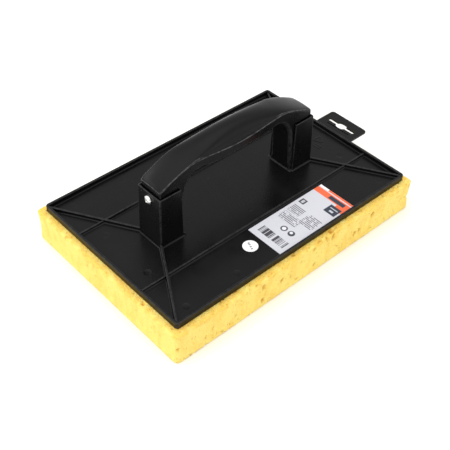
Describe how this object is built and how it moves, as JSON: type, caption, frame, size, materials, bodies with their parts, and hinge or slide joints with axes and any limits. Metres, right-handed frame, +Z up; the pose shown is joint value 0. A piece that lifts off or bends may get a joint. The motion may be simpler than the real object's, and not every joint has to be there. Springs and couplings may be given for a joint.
{
  "type": "sponge float",
  "caption": "Rectangular sponge float for finishing plaster and grout: a thick yellow sponge glued under a ribbed black plastic plate, with a screwed-on bow handle and a hang tab.",
  "frame": {"origin": "centre of the sponge's flat working face", "axes": "+X along the float's length to the hang tab, +Y across its width, +Z up from the working face to the handle"},
  "size_m": [0.3025, 0.193, 0.1152],
  "materials": {
    "sponge": "open-cell foam, dry",
    "glue": "dried contact adhesive",
    "plate_plastic": "satin moulded, polished tool marks",
    "handle_plastic": "satin moulded",
    "grip_plastic": "fine grained satin",
    "zinc_steel": "bright zinc plated",
    "label_paper": "coated paper, printed",
    "sticker_paper": "plain matt paper"
  },
  "bodies": {
    "root": {"sponge_pad": "sponge", "glue_layer": "glue", "base_plate": "plate_plastic", "handle_frame": "handle_plastic", "grip_shell": "grip_plastic", "front_screw": "zinc_steel", "rear_screw": "zinc_steel", "product_label": "label_paper", "round_sticker": "sticker_paper"}
  },
  "joints": []
}
